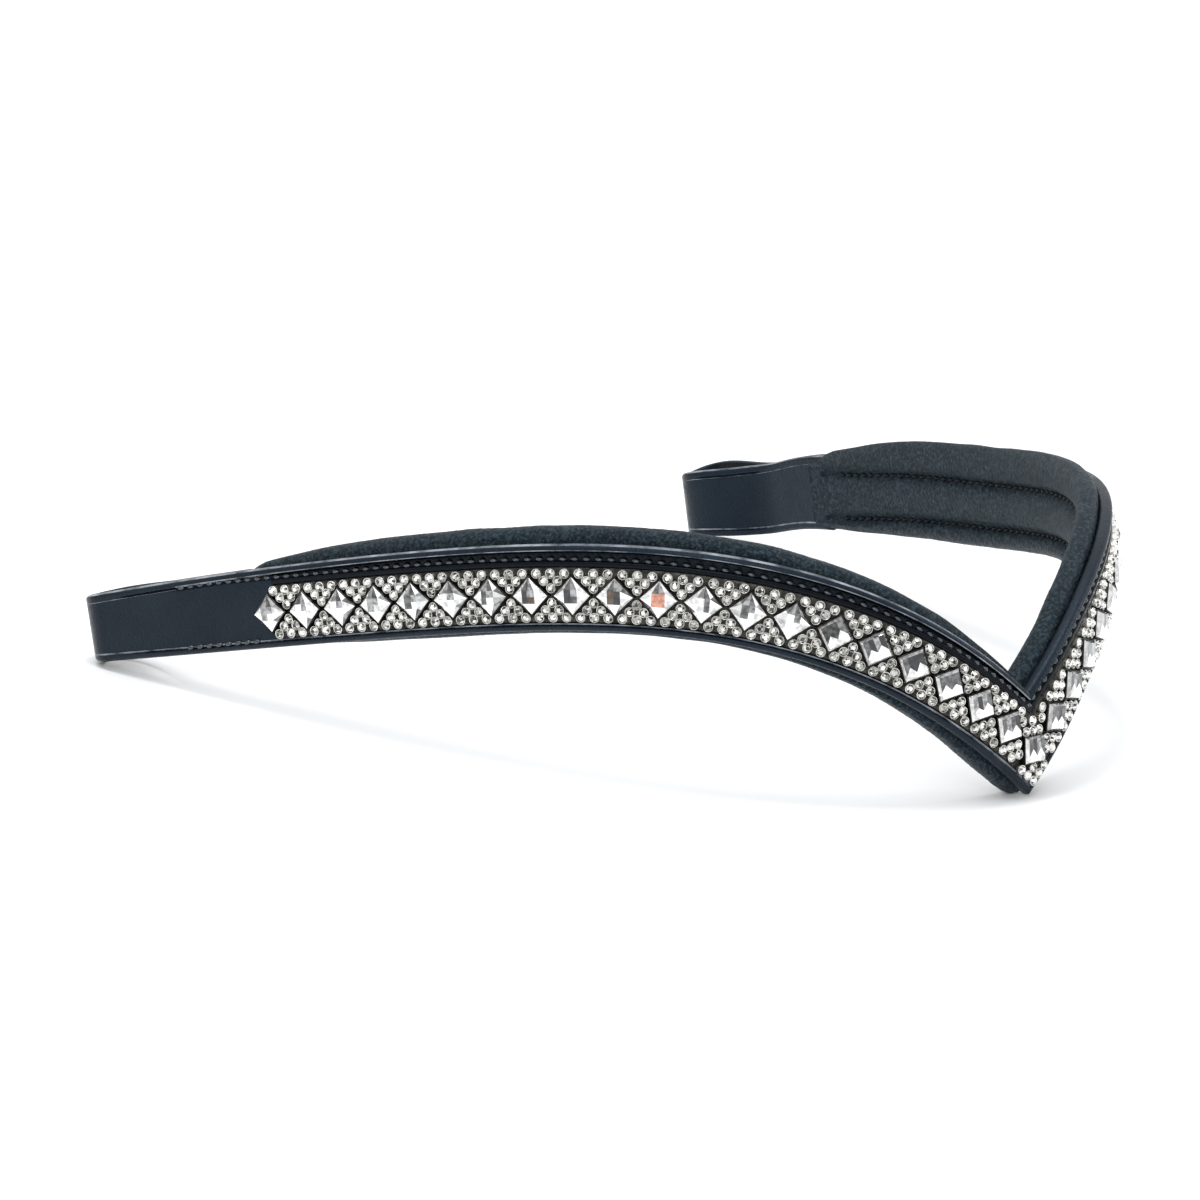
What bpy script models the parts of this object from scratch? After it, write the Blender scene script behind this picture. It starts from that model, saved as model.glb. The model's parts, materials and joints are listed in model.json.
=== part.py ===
"""A padded, V-shaped crystal browband: the strap of a snaffle bridle that crosses the horse's forehead.

Every strip of it is cut flat and then bent round the forehead about vertical lines. So each point is given
by its length along an arm from the centre stone, its height across the strap, and its distance out from the
plane of the stones. place() turns these three into a position.
"""

import math

import bmesh
import bpy
import numpy as np
from mathutils import Matrix, Vector

MM = 0.001

# The two arms, measured along the line of the stones.
PITCH = 7.9 * MM
STONES_PER_ARM = 20
ARM_LENGTH = 203.0 * MM
PAD_LENGTH = 161.5 * MM
STITCH_END = 179.3 * MM
TAIL_LENGTH = 164.0 * MM

# The flat outline climbs steeply out of the V and dips a little towards the loops.
V_SLOPE = math.radians(38.0)
END_SLOPE = math.radians(-9.4)
SLOPE_REACH = 70.0 * MM

# The plan curve turns from square across the forehead to nearly straight back.
END_HEADING = math.radians(82.4)
BEND_REACH = 160.0 * MM
BEND_POWER = 2.14

# Heights across the strap, from the line of the stones.
STRAP_TOP = 9.1 * MM
STRAP_BOTTOM = -6.6 * MM
LOOP_HALF_HEIGHT = 6.05 * MM
STRAP_TAPER = 4.3
PAD_TOP = 11.5 * MM
PAD_BOTTOM = -7.5 * MM
PAD_END_TOP = 8.6 * MM
PAD_END_BOTTOM = -6.0 * MM
PAD_TAPER = 9.0
V_DROP = 1.0 * MM
V_DROP_REACH = 45.0 * MM
PAD_V_DROP = 1.5 * MM
PAD_V_DROP_REACH = 55.0 * MM
TIP_ROUND = 3.0 * MM
CHANNEL_HALF = 4.95 * MM
CARRIER_HALF = 4.6 * MM
LIP_WIDTH = 0.6 * MM
BEAD_WIDTH = 1.4 * MM
CHANNEL_STITCH = 6.2 * MM
LOOP_STITCH = -4.9 * MM
UPPER_QUILT = 4.4 * MM
LOWER_QUILT = -3.9 * MM

# Distances out from the plane of the stones, so most are negative.
FACE = -0.8 * MM
GROOVE_FLOOR = -1.7 * MM
CHANNEL_FLOOR = -2.0 * MM
STRAP_BACK = -3.1 * MM
CARRIER_TOP = -0.7 * MM
WEB_FRONT = -3.6 * MM
WEB_THICKNESS = 0.5 * MM
PAD_FRONT = -3.7 * MM
PAD_CREST = -7.4 * MM
PAD_VALLEY = -5.9 * MM

GAP = 0.3 * MM
COVER_THICKNESS = 0.7 * MM
LEAF_THICKNESS = 1.6 * MM
LOOP_DEPTH = 10.0 * MM
LOOP_BULGE = 0.25 * MM
CORD_RADIUS = 0.45 * MM
THREAD_RADIUS = 0.25 * MM
STONE_HALF_DIAGONAL = 3.6 * MM
STONE_TABLE = 1.1 * MM
STONE_BASE = -0.4 * MM

ARM_STATIONS = 25
TIP_STATIONS = 15
FOLD_STATIONS = 8
V_OVERRUN = -11.0 * MM
ROW_CLEAR_OF_V = 5.0 * MM
MERGE = 0.00001

# Lengths at which the channel's point, its shoulders and every section along the arm lie.
CHANNEL_TIP = STONES_PER_ARM * PITCH + STONE_HALF_DIAGONAL + GAP
CHANNEL_SHOULDER = CHANNEL_TIP - CHANNEL_HALF
ARM_LENGTHS = list(np.linspace(V_OVERRUN, CHANNEL_SHOULDER, ARM_STATIONS))
TIP_LENGTHS = list(np.linspace(V_OVERRUN, ARM_LENGTHS[3], TIP_STATIONS))
PAD_LENGTHS = TIP_LENGTHS + ARM_LENGTHS[4:]
POINT_LENGTHS = [CHANNEL_TIP - CHANNEL_HALF / 2, CHANNEL_TIP, CHANNEL_TIP + 1.0 * MM]
SEWN_LENGTHS = [170.0 * MM, STITCH_END]


def running_total(values, along):
    """The integral of values from zero, at each point along."""
    total = np.concatenate([[0.0], np.cumsum((values[1:] + values[:-1]) / 2 * np.diff(along))])
    return total - np.interp(0.0, along, total)


def slope(length):
    fall_off = np.exp(-((np.maximum(length, 0.0) / SLOPE_REACH) ** 2))
    return END_SLOPE + (V_SLOPE - END_SLOPE) * fall_off


def heading(plan_length):
    left = np.clip(1 - np.abs(plan_length) / BEND_REACH, 0.0, 1.0)
    return np.sign(plan_length) * END_HEADING * (1 - left**BEND_POWER)


ALONG = np.linspace(-0.03, 0.25, 1401)
FLAT_RUN = running_total(np.cos(slope(ALONG)), ALONG)
FLAT_RISE = running_total(np.sin(slope(ALONG)), ALONG)
PLAN_X = running_total(np.cos(heading(ALONG)), ALONG)
PLAN_Y = running_total(np.sin(heading(ALONG)), ALONG)


def plan_length_at(length, across=0.0):
    return float(np.interp(length, ALONG, FLAT_RUN) - across * math.sin(slope(length)))


def place(length, across, out):
    """The point on the right arm, at this length, height across the strap and distance out."""
    plan = plan_length_at(length, across)
    turn = float(heading(plan))
    x = np.interp(plan, ALONG, PLAN_X) + out * math.sin(turn)
    y = np.interp(plan, ALONG, PLAN_Y) - out * math.cos(turn)
    z = np.interp(length, ALONG, FLAT_RISE) + across * math.cos(slope(length))
    return Vector((x, y, z))


def place_padding(length, across, out):
    """place() for the padding, whose lower edge turns the corner of the V in a curve."""
    point = place(length, across, out)
    aside = abs(plan_length_at(length, across))
    share = min(max((UPPER_QUILT - across) / (UPPER_QUILT - PAD_BOTTOM), 0.0), 1.0)
    point.z += share * math.tan(V_SLOPE) * (math.hypot(aside, TIP_ROUND) - aside)
    return point


def taper(middle, end, length, full_length, power):
    return middle + (end - middle) * min(max(length / full_length, 0.0), 1.0) ** power


def v_drop(length):
    """How far the upper edges sink towards the V, and the padding with them."""
    return V_DROP * math.exp(-((max(length, 0.0) / V_DROP_REACH) ** 2))


def strap_top(length):
    return taper(STRAP_TOP, LOOP_HALF_HEIGHT, length, ARM_LENGTH, STRAP_TAPER) - v_drop(length)


def strap_bottom(length):
    return taper(STRAP_BOTTOM, -LOOP_HALF_HEIGHT, length, ARM_LENGTH, STRAP_TAPER)


def pad_top(length):
    drop = PAD_V_DROP * math.exp(-((max(length, 0.0) / PAD_V_DROP_REACH) ** 2))
    return taper(PAD_TOP, PAD_END_TOP, length, PAD_LENGTH, PAD_TAPER) - drop


def pad_bottom(length):
    return taper(PAD_BOTTOM, PAD_END_BOTTOM, length, PAD_LENGTH, PAD_TAPER) - v_drop(length)


def channel_openness(length):
    """1 along the channel, falling to 0 over the half stone at its pointed end."""
    return min(max((CHANNEL_TIP - length) / CHANNEL_HALF, 0.0), 1.0)


def groove_floor(length):
    return FACE + (GROOVE_FLOOR - FACE) * (0.3 + 0.7 * channel_openness(length))


def strap_section(length):
    """The closed outline of the moulded strap: a raised bead on each edge, a stitch groove and a channel."""
    top = strap_top(length)
    bottom = strap_bottom(length)
    openness = channel_openness(length)
    half = max(CHANNEL_HALF * openness, 0.2 * MM)
    floor = FACE + (CHANNEL_FLOOR - FACE) * min(openness * 2, 1.0)
    groove = groove_floor(length)
    notch = STRAP_BACK + 1.25 * MM * min(openness * 2, 1.0)
    lip = CHANNEL_HALF + LIP_WIDTH
    wall = 0.3 * MM
    return [
        (bottom, STRAP_BACK),
        (bottom, FACE - 0.5 * MM),
        (bottom + 0.4 * MM, FACE),
        (-half - 0.2 * MM, FACE),
        (-half, FACE - 0.2 * MM * openness),
        (-half, floor),
        (half, floor),
        (half, FACE - 0.2 * MM * openness),
        (half + 0.2 * MM, FACE),
        (lip, FACE),
        (lip + 0.3 * MM, groove),
        (top - BEAD_WIDTH, groove),
        (top - BEAD_WIDTH + 0.3 * MM, FACE),
        (top - 0.4 * MM, FACE),
        (top, FACE - 0.5 * MM),
        (top, STRAP_BACK),
        (top - wall, STRAP_BACK),
        (top - wall, notch),
        (top - BEAD_WIDTH + 0.05 * MM, notch),
        (top - BEAD_WIDTH + 0.05 * MM, STRAP_BACK),
        (bottom + BEAD_WIDTH - 0.05 * MM, STRAP_BACK),
        (bottom + BEAD_WIDTH - 0.05 * MM, notch),
        (bottom + wall, notch),
        (bottom + wall, STRAP_BACK),
    ]


def carrier_section(length):
    half = max(CARRIER_HALF * channel_openness(length), 0.1 * MM)
    base = CHANNEL_FLOOR + GAP
    return [(-half, base), (-half, CARRIER_TOP), (half, CARRIER_TOP), (half, base)]


def web_section(length):
    front = WEB_FRONT
    back = front - WEB_THICKNESS
    low = strap_bottom(length) + 2.2 * MM
    high = strap_top(length) - 2.2 * MM
    return [(low, back), (low, front), (high, front), (high, back)]


def pad_fullness(length):
    """How far the padding stands back, from 1 along the arm to a thin feathered end."""
    return taper(1.0, 0.35, length, PAD_LENGTH, PAD_TAPER)


def cover_section(length):
    """The open outline of the padding's skin, from under the strap's top edge round to its bottom edge."""
    top = pad_top(length)
    bottom = pad_bottom(length)
    full = pad_fullness(length)
    crest = PAD_FRONT + (PAD_CREST - PAD_FRONT) * full
    valley = PAD_FRONT + (PAD_VALLEY - PAD_FRONT) * full
    middle = (PAD_FRONT + crest) / 2
    drop = v_drop(length)
    upper = UPPER_QUILT - drop
    lower = LOWER_QUILT - drop
    return [
        (top - 2.4 * MM, PAD_FRONT),
        (top - 0.7 * MM, PAD_FRONT - 0.3 * MM),
        (top, middle),
        (top - 0.8 * MM, crest + 0.6 * MM * full),
        (top - 2.4 * MM, crest),
        (upper + 1.2 * MM, crest + 0.5 * MM * full),
        (upper, valley),
        (upper - 1.4 * MM, crest + 0.4 * MM * full),
        ((upper + lower) / 2, crest),
        (lower + 1.4 * MM, crest + 0.4 * MM * full),
        (lower, valley),
        (lower - 1.0 * MM, crest + 0.5 * MM * full),
        (bottom + 1.4 * MM, crest + 0.2 * MM * full),
        (bottom + 0.3 * MM, (crest + middle) / 2),
        (bottom, middle),
        (bottom + 0.7 * MM, PAD_FRONT - 0.3 * MM),
        (bottom + 2.2 * MM, PAD_FRONT),
    ]


def foam_section(low_edge, high_edge):
    """A function that gives the closed outline of one foam strip, from the two functions of its edges."""

    def section(length):
        low = low_edge(length)
        high = high_edge(length)
        full = pad_fullness(length)
        front = PAD_FRONT - COVER_THICKNESS - GAP
        inset = COVER_THICKNESS + GAP
        back = PAD_FRONT + (PAD_CREST - PAD_FRONT) * full + inset + 0.9 * MM * full
        back = min(back, front - 0.3 * MM)
        chamfer = min(0.6 * MM, (high - low) * 0.3)
        return [(low, front), (high, front), (high - 0.1 * MM, (front + back) / 2), (high - chamfer, back),
                (low + chamfer, back), (low + 0.1 * MM, (front + back) / 2)]

    return section


def stations_at(lengths):
    """(length, out, turn) of sections that stand square to the arm."""
    return [(length, 0.0, 0.0) for length in lengths]


def loop_stations():
    """Stations of the loop's outer face: out along the strap, round the fold and back under the padding."""
    radius = LOOP_DEPTH / 2
    fold_length = ARM_LENGTH - radius
    start = STITCH_END + GAP
    stations = [(start, FACE - LOOP_BULGE, 0.0), (start + 4.0 * MM, FACE, 0.0), (fold_length, FACE, 0.0)]
    for step in range(1, FOLD_STATIONS):
        turn = math.pi * step / FOLD_STATIONS
        stations.append((fold_length + radius * math.sin(turn), FACE - radius * (1 - math.cos(turn)), turn))
    sewn = STRAP_BACK - GAP - LEAF_THICKNESS
    spread = FACE - LOOP_DEPTH - sewn
    run = fold_length - STITCH_END
    for step in range(5):
        part = 1 - step / 4
        rise = 1 - (1 - part) ** 2
        lean = math.atan2(-2 * spread * (1 - part), run)
        stations.append((STITCH_END + run * part, sewn + spread * rise, math.pi - lean))
    stations.append((TAIL_LENGTH, sewn, math.pi))
    return stations


def loop_section(length):
    """The closed outline of one thickness of strap leather, its outer face at zero."""
    top = strap_top(length)
    bottom = strap_bottom(length)
    return [
        (bottom, -LEAF_THICKNESS),
        (bottom, -0.5 * MM),
        (bottom + 0.4 * MM, 0.0),
        (top - 0.4 * MM, 0.0),
        (top, -0.5 * MM),
        (top, -LEAF_THICKNESS),
    ]


def swept_mesh(name, stations, section, closed=True, place_at=place):
    """A grid bent along the stations. A closed section joins its seam and gets a cap at each open end."""
    outlines = [section(station[0]) for station in stations]
    around = len(outlines[0]) + (1 if closed else 0)
    mesh = bpy.data.meshes.new(name)
    shape = bmesh.new()
    bmesh.ops.create_grid(shape, x_segments=len(stations) - 1, y_segments=around - 1, size=1.0)
    for vertex in shape.verts:
        column = round((vertex.co.x + 1) / 2 * (len(stations) - 1))
        row = round((vertex.co.y + 1) / 2 * (around - 1))
        length, out, turn = stations[column]
        across, lift = outlines[column][row % len(outlines[column])]
        vertex.co = place_at(length + lift * math.sin(turn), across, out + lift * math.cos(turn))
    if closed:
        bmesh.ops.remove_doubles(shape, verts=shape.verts, dist=MERGE / 10)
        bmesh.ops.holes_fill(shape, edges=shape.edges, sides=0)
    bmesh.ops.recalc_face_normals(shape, faces=shape.faces)
    shape.to_mesh(mesh)
    shape.free()
    return mesh


def material(name, colour, roughness, metallic=0.0, transmission=0.0):
    made = bpy.data.materials.new(name)
    made.use_nodes = True
    shader = made.node_tree.nodes["Principled BSDF"]
    shader.inputs["Base Color"].default_value = (*colour, 1.0)
    shader.inputs["Roughness"].default_value = roughness
    shader.inputs["Metallic"].default_value = metallic
    shader.inputs["Transmission Weight"].default_value = transmission
    made.diffuse_color = (*colour, 1.0)
    return made


def clear_scene():
    for obj in list(bpy.data.objects):
        bpy.data.objects.remove(obj, do_unlink=True)


def add_object(name, data, look, collection, stance):
    obj = bpy.data.objects.new(name, data)
    if not data.materials:
        data.materials.append(look)
    collection.objects.link(obj)
    obj.parent = stance
    return obj


def add_mirrored(name, mesh, look, collection, stance, thickness=0.0):
    """One arm, cut at the centre plane and mirrored into a whole V. A thickness makes a sheet a shell."""
    obj = add_object(name, mesh, look, collection, stance)
    mirror = obj.modifiers.new("Whole V", "MIRROR")
    mirror.use_axis = (True, False, False)
    mirror.use_bisect_axis = (True, False, False)
    mirror.merge_threshold = MERGE
    mirror.bisect_threshold = MERGE / 10
    if thickness:
        shell = obj.modifiers.new("Skin", "SOLIDIFY")
        shell.thickness = thickness
        shell.offset = -1.0
        shell.use_even_offset = True
    mesh.shade_smooth()
    mesh.set_sharp_from_angle(angle=math.radians(35))
    return obj


def add_wire(name, points, radius, look, collection, stance):
    """A thread or cord: one POLY spline with a round bevel and filled caps."""
    curve = bpy.data.curves.new(name, "CURVE")
    curve.dimensions = "3D"
    curve.bevel_depth = radius
    curve.bevel_resolution = 1
    curve.use_fill_caps = True
    spline = curve.splines.new("POLY")
    spline.points.add(len(points) - 1)
    for target, point in zip(spline.points, points):
        target.co = (*point, 1.0)
    return add_object(name, curve, look, collection, stance)


def arm_row(lengths, across_at, out_at, place_at=place):
    """Points of a row along the right arm."""
    return [place_at(length, across_at(length), out_at(length)) for length in lengths]


def mirrored(points):
    return [Vector((-point.x, point.y, point.z)) for point in reversed(points)]


def both_arms(lengths, across_at, out_at, place_at=place):
    """Points of a row that runs from the left arm's end, through the V, to the right arm's end."""
    across = across_at(0.0)
    centre = place_at(across * math.tan(V_SLOPE), across, out_at(0.0))
    right = [point for point in arm_row(lengths, across_at, out_at, place_at) if point.x > ROW_CLEAR_OF_V]
    return mirrored(right) + [centre] + right


def strap_frame(length, side):
    """Axes of a stone at this length: along the arm, across it, and out."""
    turn = float(heading(plan_length_at(length))) * side
    along = Vector((math.cos(turn), math.sin(turn), 0.0))
    out = Vector((math.sin(turn), -math.cos(turn), 0.0))
    climb = float(slope(length)) * side if length else math.radians(45)
    direction = along * math.cos(climb) + Vector((0, 0, 1)) * math.sin(climb)
    return direction, out.cross(direction), out


def stone_mesh():
    """Half of a square-cut stone's profile, which a Screw modifier turns in four steps."""
    half = STONE_HALF_DIAGONAL
    profile = [(0.0, STONE_TABLE), (half * 0.45, STONE_TABLE), (half, 0.15 * MM), (half * 0.9, STONE_BASE),
               (0.0, STONE_BASE)]
    mesh = bpy.data.meshes.new("square_stone")
    mesh.from_pydata([(x, 0.0, z) for x, z in profile], [(i, i + 1) for i in range(len(profile) - 1)], [])
    return mesh


def add_stones(look, collection, stance):
    mesh = stone_mesh()
    mesh.materials.append(look)
    for index in range(-STONES_PER_ARM, STONES_PER_ARM + 1):
        side = -1 if index < 0 else 1
        length = abs(index) * PITCH
        centre = place(length, 0.0, 0.0)
        direction, across, out = strap_frame(length, side)
        stone = add_object(f"stone_{index + STONES_PER_ARM + 1:02d}", mesh, look, collection, stance)
        turned = Matrix((direction, across, out)).transposed().to_4x4()
        stone.matrix_local = Matrix.Translation((centre.x * side, centre.y, centre.z)) @ turned
        screw = stone.modifiers.new("Four sides", "SCREW")
        screw.steps = 4
        screw.render_steps = 4
        screw.use_merge_vertices = True
        screw.merge_threshold = MERGE
        screw.use_smooth_shade = False


def foam_sections():
    """Names and sections of the three strips of foam between the rows of quilting."""

    def upper_low(length):
        return UPPER_QUILT - v_drop(length) + 0.8 * MM

    def upper_high(length):
        return pad_top(length) - 1.8 * MM

    def middle_low(length):
        return LOWER_QUILT - v_drop(length) + 0.6 * MM

    def middle_high(length):
        return UPPER_QUILT - v_drop(length) - 0.6 * MM

    def lower_low(length):
        return pad_bottom(length) + 1.4 * MM

    def lower_high(length):
        return LOWER_QUILT - v_drop(length) - 0.6 * MM

    return [
        ("upper_foam", foam_section(upper_low, upper_high)),
        ("middle_foam", foam_section(middle_low, middle_high)),
        ("lower_foam", foam_section(lower_low, lower_high)),
    ]


def cord_routes():
    """Names and points of the two cords that raise the strap's edges."""
    inset = BEAD_WIDTH / 2 + 0.12 * MM

    def upper(length):
        return strap_top(length) - inset

    def lower(length):
        return strap_bottom(length) + inset

    def out(length):
        return STRAP_BACK + CORD_RADIUS + 0.1 * MM

    lengths = ARM_LENGTHS[:-1]
    return [
        ("upper_bead_cord", both_arms(lengths, upper, out)),
        ("lower_bead_cord", both_arms(lengths, lower, out)),
    ]


def thread_routes():
    """Names and points of the visible rows of stitching."""
    clear = GAP + THREAD_RADIUS

    def channel_across(length):
        return CHANNEL_STITCH

    def channel_out(length):
        return groove_floor(length) + clear

    def loop_across(length):
        return LOOP_STITCH

    def loop_out(length):
        return FACE + clear

    def upper_across(length):
        return UPPER_QUILT - v_drop(length)

    def lower_across(length):
        return LOWER_QUILT - v_drop(length)

    def quilt_out(length):
        return PAD_FRONT + (PAD_VALLEY - PAD_FRONT) * pad_fullness(length) - clear

    channel_lengths = ARM_LENGTHS + POINT_LENGTHS + [SEWN_LENGTHS[0], STITCH_END - 1.0 * MM]
    loop_lengths = [CHANNEL_TIP, SEWN_LENGTHS[0], STITCH_END - 1.0 * MM]
    loop_row = arm_row(loop_lengths, loop_across, loop_out)
    return [
        ("channel_thread", both_arms(channel_lengths, channel_across, channel_out)),
        ("right_loop_thread", loop_row),
        ("left_loop_thread", mirrored(loop_row)),
        ("upper_quilting_thread", both_arms(PAD_LENGTHS, upper_across, quilt_out, place_padding)),
        ("lower_quilting_thread", both_arms(PAD_LENGTHS, lower_across, quilt_out, place_padding)),
    ]


def add_loops(look, collection, stance):
    """The folded loop on each end, which slides onto the bridle's headpiece."""
    right = swept_mesh("right_loop", loop_stations(), loop_section)
    left = right.copy()
    left.name = "left_loop"
    left.transform(Matrix.Scale(-1, 4, (1, 0, 0)))
    left.flip_normals()
    for mesh in (right, left):
        mesh.shade_smooth()
        mesh.set_sharp_from_angle(angle=math.radians(35))
        add_object(mesh.name, mesh, look, collection, stance)


def stand_on_floor(stance, collection):
    """Tips the browband back onto the V and the two loops, then centres its box above the origin."""
    low = pad_bottom(0.0)
    tip = place_padding(low * math.tan(V_SLOPE), low, (PAD_FRONT + PAD_CREST) / 2)
    heel = place(ARM_LENGTH, -LOOP_HALF_HEIGHT, FACE - LOOP_DEPTH / 2)
    stance.rotation_euler.x = -math.atan2(heel.z - tip.z, heel.y - tip.y)
    bpy.context.view_layer.update()
    graph = bpy.context.evaluated_depsgraph_get()
    corners = []
    for obj in collection.objects:
        if obj.type == "EMPTY":
            continue
        solid = obj.evaluated_get(graph)
        mesh = solid.to_mesh()
        corners += [solid.matrix_world @ vertex.co for vertex in mesh.vertices]
        solid.to_mesh_clear()
    middle_y = (min(point.y for point in corners) + max(point.y for point in corners)) / 2
    stance.location = (0.0, -middle_y, -min(point.z for point in corners))


def build():
    clear_scene()
    collection = bpy.data.collections.new("crystal_browband")
    bpy.context.scene.collection.children.link(collection)
    stance = bpy.data.objects.new("stance", None)
    collection.objects.link(stance)

    smooth_leather = material("strap_leather", (0.020, 0.022, 0.026), 0.32)
    soft_leather = material("pad_leather", (0.016, 0.019, 0.022), 0.55)
    foam = material("foam", (0.30, 0.30, 0.28), 0.9)
    nylon = material("nylon_web", (0.05, 0.05, 0.05), 0.7)
    cord = material("filler_cord", (0.55, 0.52, 0.46), 0.8)
    thread = material("black_thread", (0.012, 0.012, 0.014), 0.5)
    setting = material("stone_setting", (0.62, 0.58, 0.50), 0.3, metallic=1.0)
    crystal = material("crystal", (0.92, 0.93, 0.95), 0.03, transmission=0.6)

    strap = swept_mesh("outer_strap", stations_at(ARM_LENGTHS + POINT_LENGTHS + SEWN_LENGTHS), strap_section)
    add_mirrored("outer_strap", strap, smooth_leather, collection, stance)
    add_loops(smooth_leather, collection, stance)

    carrier = swept_mesh("crystal_carrier", stations_at(ARM_LENGTHS + POINT_LENGTHS[:1]), carrier_section)
    add_mirrored("crystal_carrier", carrier, setting, collection, stance)
    add_stones(crystal, collection, stance)

    web = swept_mesh("reinforcement_web", stations_at(ARM_LENGTHS[:-1]), web_section)
    add_mirrored("reinforcement_web", web, nylon, collection, stance)
    for name, section in foam_sections():
        strip = swept_mesh(name, stations_at(PAD_LENGTHS[:-2]), section, place_at=place_padding)
        add_mirrored(name, strip, foam, collection, stance)
    cover_stations = stations_at(PAD_LENGTHS + [PAD_LENGTH])
    cover = swept_mesh("pad_cover", cover_stations, cover_section, closed=False, place_at=place_padding)
    add_mirrored("pad_cover", cover, soft_leather, collection, stance, thickness=COVER_THICKNESS)

    for name, points in cord_routes():
        add_wire(name, points, CORD_RADIUS, cord, collection, stance)
    for name, points in thread_routes():
        add_wire(name, points, THREAD_RADIUS, thread, collection, stance)
    stand_on_floor(stance, collection)


build()
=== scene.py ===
"""The looks of a padded, V-shaped crystal browband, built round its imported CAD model.

Every strip is drawn flat and bent round the forehead. A point is given by its length along an arm from
the centre stone, its height across the strap and its distance out from the plane of the stones, and
place() gives it in the shared frame. Lengths are in metres.
"""

import json
import math
import random

import bmesh
import bpy
import numpy as np
from mathutils import Matrix, Vector, noise

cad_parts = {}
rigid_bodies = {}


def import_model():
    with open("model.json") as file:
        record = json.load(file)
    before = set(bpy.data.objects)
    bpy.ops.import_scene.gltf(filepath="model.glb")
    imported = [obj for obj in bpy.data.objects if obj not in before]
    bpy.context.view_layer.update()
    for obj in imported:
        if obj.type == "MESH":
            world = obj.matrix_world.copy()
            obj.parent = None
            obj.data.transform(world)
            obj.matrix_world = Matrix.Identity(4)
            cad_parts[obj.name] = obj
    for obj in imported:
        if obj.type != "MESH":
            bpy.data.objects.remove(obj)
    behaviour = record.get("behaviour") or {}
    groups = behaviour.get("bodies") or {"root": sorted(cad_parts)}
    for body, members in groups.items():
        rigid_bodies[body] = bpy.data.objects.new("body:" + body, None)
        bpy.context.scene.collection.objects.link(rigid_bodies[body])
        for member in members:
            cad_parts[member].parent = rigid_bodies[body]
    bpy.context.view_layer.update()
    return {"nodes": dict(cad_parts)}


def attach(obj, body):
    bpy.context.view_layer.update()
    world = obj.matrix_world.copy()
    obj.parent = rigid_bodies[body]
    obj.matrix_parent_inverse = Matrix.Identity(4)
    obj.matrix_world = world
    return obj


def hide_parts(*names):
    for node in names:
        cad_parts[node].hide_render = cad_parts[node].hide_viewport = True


MM = 0.001

# The outline and bend, as in the CAD model.
PITCH = 7.9 * MM
STONES_PER_ARM = 20
ARM_LENGTH = 203.0 * MM
PAD_LENGTH = 161.5 * MM
STITCH_END = 179.3 * MM
TAIL_LENGTH = 164.0 * MM
V_SLOPE = math.radians(38.0)
END_SLOPE = math.radians(-9.4)
SLOPE_REACH = 70.0 * MM
END_HEADING = math.radians(82.4)
BEND_REACH = 160.0 * MM
BEND_POWER = 2.14
STRAP_TOP = 9.1 * MM
STRAP_BOTTOM = -6.6 * MM
LOOP_HALF_HEIGHT = 6.05 * MM
STRAP_TAPER = 4.3
PAD_TOP = 11.5 * MM
PAD_BOTTOM = -7.5 * MM
PAD_END_TOP = 8.6 * MM
PAD_END_BOTTOM = -6.0 * MM
PAD_TAPER = 9.0
V_DROP = 1.0 * MM
V_DROP_REACH = 45.0 * MM
PAD_V_DROP = 1.5 * MM
PAD_V_DROP_REACH = 55.0 * MM
TIP_ROUND = 3.0 * MM
CHANNEL_HALF = 4.95 * MM
CHANNEL_STITCH = 6.2 * MM
LOOP_STITCH = -4.9 * MM
UPPER_QUILT = 4.4 * MM
LOWER_QUILT = -3.9 * MM
FACE = -0.8 * MM
CHANNEL_FLOOR = -2.0 * MM
STRAP_BACK = -3.1 * MM
CARRIER_TOP = -0.7 * MM
PAD_FRONT = -3.2 * MM
PAD_DEPTH = 4.1 * MM
LEAF_THICKNESS = 1.6 * MM
LEAF_SKIN = STRAP_BACK - 0.3 * MM - LEAF_THICKNESS
LOOP_DEPTH = 10.0 * MM
STONE_HALF_DIAGONAL = 3.6 * MM
V_OVERRUN = -11.0 * MM
CHANNEL_TIP = STONES_PER_ARM * PITCH + STONE_HALF_DIAGONAL + 0.3 * MM
CHANNEL_SHOULDER = CHANNEL_TIP - CHANNEL_HALF

# How the worn shape stands on the floor, and where the photographer stood in the worn shape's own frame.
STANCE = Matrix.Translation((0.0, -0.078783, 0.009216)) @ Matrix.Rotation(math.radians(-7.249), 4, "X")
CAMERA_PLACE = (-1.2214, -1.0498, 0.3156)
CAMERA_AZIMUTH = math.radians(46.61)
CAMERA_ELEVATION = math.radians(10.12)
CAMERA_ROLL = math.radians(-1.22)
CAMERA_LENS = 277.94

# How the right arm lies, compared with the left arm's mirror image: to one side, lower and then higher.
ARM_SHIFT = (1.45 * MM, -1.5 * MM)
ARM_SHIFT_FROM = 15.0 * MM
ARM_SHIFT_TO = 62.0 * MM
ARM_SAG = 2.75 * MM
ARM_SAG_AT = 97.0 * MM
ARM_SAG_REACH = 32.0 * MM
ARM_RISE = 0.85 * MM
ARM_RISE_AT = 163.0 * MM
ARM_RISE_REACH = 10.0 * MM

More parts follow.
